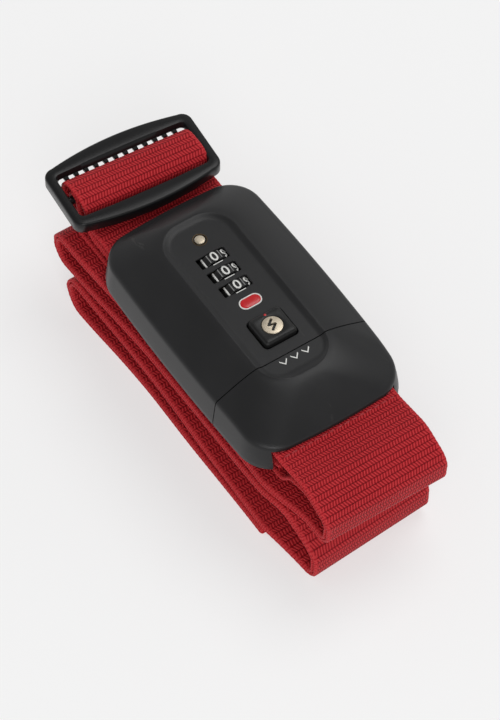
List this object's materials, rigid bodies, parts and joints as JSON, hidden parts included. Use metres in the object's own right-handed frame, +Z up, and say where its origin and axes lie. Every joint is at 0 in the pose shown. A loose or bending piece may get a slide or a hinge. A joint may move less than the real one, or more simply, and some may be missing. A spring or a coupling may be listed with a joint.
{
  "type": "luggage strap",
  "caption": "Folded red webbing luggage strap with a push-button combination-lock buckle and a tri-glide slider.",
  "frame": {"origin": "centre of the footprint, on the surface that the folded strap lies on", "axes": "+X from the slider to the tongue along the strap, +Y across the strap, +Z up through the lock's panel"},
  "size_m": [0.172, 0.066, 0.0608],
  "materials": {
    "webbing_red": "coarse woven polyester",
    "thread_red": "sewing thread",
    "plastic_black": "fine spark-eroded texture",
    "plastic_satin": "satin black",
    "dial_black": "satin black with white digits",
    "badge_red": "gloss red enamel",
    "plated_zinc": "satin nickel plate",
    "steel": "plain",
    "spring_steel": "plain",
    "brass": "turned"
  },
  "bodies": {
    "lock_body": {"lock_top_cover": "plastic_black", "lock_base": "plastic_black", "lock_screws": "steel", "far_strap_bar": "steel", "dial_shaft": "steel", "dial_detent_spring": "spring_steel", "lock_comb": "spring_steel", "reset_spring": "spring_steel", "badge_inlay": "badge_red", "button_springs": "spring_steel", "blade_guide": "steel", "latch_catch": "spring_steel", "webbing_strap": "webbing_red", "slider_end_stitching": "thread_red"},
    "release_button": {"release_button": "plastic_satin", "latch_frame": "plastic_satin"},
    "key_plug": {"key_plug": "plated_zinc", "key_cam": "brass"},
    "reset_pin": {"reset_pin": "plated_zinc"},
    "tongue": {"tongue_cover": "plastic_black", "tongue_base": "plastic_black", "tongue_screws": "steel", "tongue_blade": "steel", "blade_rivets": "steel", "tongue_strap_bar": "steel", "webbing_tongue_leg": "webbing_red", "tongue_end_stitching": "thread_red"},
    "slider": {"slider_frame": "plastic_satin"},
    "dial_1": {"dial_wheel_1": "dial_black", "clutch_sleeve_1": "brass"},
    "dial_2": {"dial_wheel_2": "dial_black", "clutch_sleeve_2": "brass"},
    "dial_3": {"dial_wheel_3": "dial_black", "clutch_sleeve_3": "brass"}
  },
  "joints": [
    {"name": "button_press", "type": "slide", "parent": "lock_body", "child": "release_button", "axis": [0, 0, -1], "range_m": [0, 0.002], "stiffness_N_per_m": 900, "springref_m": -0.001, "deforming": ["button_springs", "latch_catch", "lock_comb"]},
    {"name": "key_turn", "type": "hinge", "parent": "release_button", "child": "key_plug", "pos_m": [0.01455, 0, 0.057], "axis": [0, 0, 1], "range_deg": [0, 90]},
    {"name": "reset_press", "type": "slide", "parent": "lock_body", "child": "reset_pin", "axis": [0, 0, -1], "range_m": [0, 0.0015], "stiffness_N_per_m": 600, "springref_m": -0.001, "deforming": ["reset_spring"]},
    {"name": "tongue_slide", "type": "slide", "parent": "lock_body", "child": "tongue", "axis": [1, 0, 0], "range_m": [0, 0.03], "deforming": ["latch_catch"]},
    {"name": "slider_tilt", "type": "hinge", "parent": "lock_body", "child": "slider", "pos_m": [-0.07145, 0, 0.0516], "axis": [0, 1, 0], "range_deg": [-8, 8]},
    {"name": "dial_1_turn", "type": "hinge", "parent": "lock_body", "child": "dial_1", "pos_m": [-0.02235, 0, 0.052], "axis": [1, 0, 0], "continuous": true},
    {"name": "dial_2_turn", "type": "hinge", "parent": "lock_body", "child": "dial_2", "pos_m": [-0.01505, 0, 0.052], "axis": [1, 0, 0], "continuous": true},
    {"name": "dial_3_turn", "type": "hinge", "parent": "lock_body", "child": "dial_3", "pos_m": [-0.00775, 0, 0.052], "axis": [1, 0, 0], "continuous": true}
  ]
}
